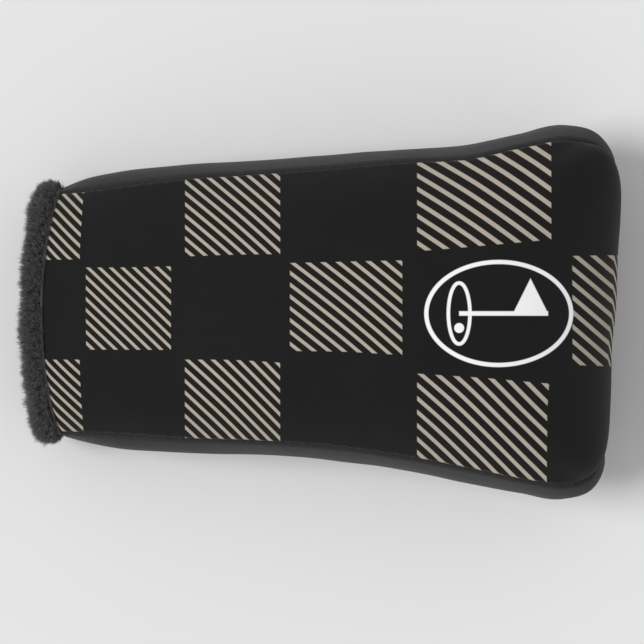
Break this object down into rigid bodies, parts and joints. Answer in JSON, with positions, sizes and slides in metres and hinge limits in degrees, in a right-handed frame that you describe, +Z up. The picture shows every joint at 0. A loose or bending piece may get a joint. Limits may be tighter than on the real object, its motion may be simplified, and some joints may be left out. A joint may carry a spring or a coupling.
{
  "type": "driver head cover",
  "caption": "Sewn soft pocket with a plush lining and a plush cuff round its open neck, pulled over a golf driver's head to protect it.",
  "frame": {"origin": "middle of the base of the whole object's box, on the surface that the cover lies on", "axes": "+X from the mouth to the closed crown, +Y across the cover, +Z up out of the printed front panel"},
  "size_m": [0.2563, 0.1598, 0.085],
  "materials": {
    "printed_neoprene": "matt",
    "gusset_jersey": "matt",
    "plush": "matt",
    "thread": "satin"
  },
  "bodies": {
    "root": {"front_panel": "printed_neoprene", "back_panel": "printed_neoprene", "side_gusset": "gusset_jersey", "front_lining": "plush", "back_lining": "plush", "gusset_lining": "plush", "plush_cuff": "plush", "mouth_seam_thread": "thread", "front_seam_thread": "thread", "back_seam_thread": "thread", "front_lining_seam_thread": "thread", "back_lining_seam_thread": "thread"}
  },
  "joints": []
}
